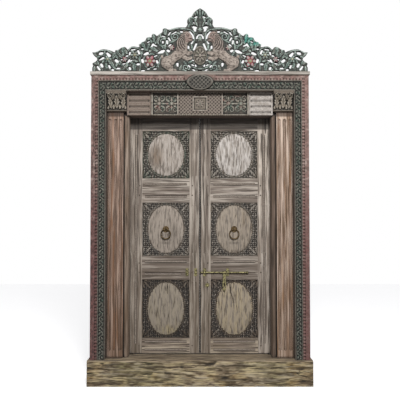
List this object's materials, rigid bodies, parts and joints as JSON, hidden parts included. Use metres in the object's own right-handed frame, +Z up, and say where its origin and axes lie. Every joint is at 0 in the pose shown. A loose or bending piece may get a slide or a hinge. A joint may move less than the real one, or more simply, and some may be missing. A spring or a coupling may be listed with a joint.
{
  "type": "carved double door",
  "caption": "Antique carved wooden double door in its frame, with a pierced lion crest, raised oval panels, ring pulls and a sliding bolt with a hasp.",
  "frame": {"origin": "middle of the threshold's underside", "axes": "+Z up, +X along the doorway to the viewer's right, +Y away from the viewer, into the building"},
  "size_m": [1.8, 0.34, 3.05],
  "materials": {
    "frame_wood": "weathered paint on teak",
    "threshold_wood": "rough, worn, bare",
    "pilaster_wood": "worn paint on teak",
    "green_carving": "worn green paint on carved teak",
    "lion_carving": "worn pale paint on carved teak",
    "pink_moulding": "worn dusty pink paint",
    "grey_carving": "worn grey paint on carved teak",
    "pale_rail": "bleached, bare",
    "leaf_wood": "bleached and waxed",
    "panel_wood": "pale ovals on a dark carved ground",
    "ring_bronze": "dark, rubbed bright on the high spots",
    "bolt_brass": "dull, aged"
  },
  "bodies": {
    "frame": {"threshold": "threshold_wood", "left_jamb": "pilaster_wood", "right_jamb": "pilaster_wood", "head_beam": "frame_wood", "left_pilaster": "pilaster_wood", "right_pilaster": "pilaster_wood", "left_capital": "grey_carving", "right_capital": "grey_carving", "left_surround_post": "frame_wood", "right_surround_post": "frame_wood", "surround_head": "frame_wood", "left_band": "green_carving", "right_band": "green_carving", "top_band": "green_carving", "left_moulding": "pink_moulding", "right_moulding": "pink_moulding", "top_moulding": "pink_moulding", "top_boss": "green_carving", "frieze_board": "grey_carving", "crest_rail": "pale_rail", "crest_left_wing": "green_carving", "crest_center": "green_carving", "crest_right_wing": "green_carving", "crest_left_lion": "lion_carving", "crest_right_lion": "lion_carving", "crest_medallion": "green_carving", "crest_finial": "green_carving"},
    "left_leaf": {"left_hinge_stile": "leaf_wood", "left_meeting_stile": "leaf_wood", "left_bottom_rail": "leaf_wood", "left_lower_rail": "leaf_wood", "left_upper_rail": "leaf_wood", "left_top_rail": "leaf_wood", "left_lower_panel": "panel_wood", "left_middle_panel": "panel_wood", "left_upper_panel": "panel_wood", "left_pegs": "leaf_wood", "left_ring_rose": "ring_bronze", "left_ring_eye": "ring_bronze", "bolt_staples": "bolt_brass"},
    "right_leaf": {"right_hinge_stile": "leaf_wood", "right_meeting_stile": "leaf_wood", "right_bottom_rail": "leaf_wood", "right_lower_rail": "leaf_wood", "right_upper_rail": "leaf_wood", "right_top_rail": "leaf_wood", "right_lower_panel": "panel_wood", "right_middle_panel": "panel_wood", "right_upper_panel": "panel_wood", "right_pegs": "leaf_wood", "right_ring_rose": "ring_bronze", "right_ring_eye": "ring_bronze", "bolt_keepers": "bolt_brass", "padlock_staple": "bolt_brass"},
    "left_ring_body": {"left_ring": "ring_bronze"},
    "right_ring_body": {"right_ring": "ring_bronze"},
    "bolt": {"bolt_bar": "bolt_brass", "bolt_collars": "bolt_brass"},
    "hasp_body": {"hasp": "bolt_brass"}
  },
  "joints": [
    {"name": "left_leaf_hinge", "type": "hinge", "parent": "frame", "child": "left_leaf", "pos_m": [-0.5865, 0.0975, 0.215], "axis": [0, 0, 1], "range_deg": [0, 90]},
    {"name": "right_leaf_hinge", "type": "hinge", "parent": "frame", "child": "right_leaf", "pos_m": [0.5865, 0.0975, 0.215], "axis": [0, 0, -1], "range_deg": [0, 90]},
    {"name": "left_ring_swing", "type": "hinge", "parent": "left_leaf", "child": "left_ring_body", "pos_m": [-0.28625, 0.0551, 1.246], "axis": [-1, 0, 0], "range_deg": [0, 120]},
    {"name": "right_ring_swing", "type": "hinge", "parent": "right_leaf", "child": "right_ring_body", "pos_m": [0.28625, 0.0551, 1.246], "axis": [-1, 0, 0], "range_deg": [0, 120]},
    {"name": "bolt_slide", "type": "slide", "parent": "right_leaf", "child": "bolt", "axis": [-1, 0, 0], "range_m": [0, 0.1424]},
    {"name": "hasp_lift", "type": "hinge", "parent": "bolt", "child": "hasp_body", "pos_m": [0.2029, 0.059, 0.88676], "axis": [-1, 0, 0], "range_deg": [0, 120]}
  ]
}
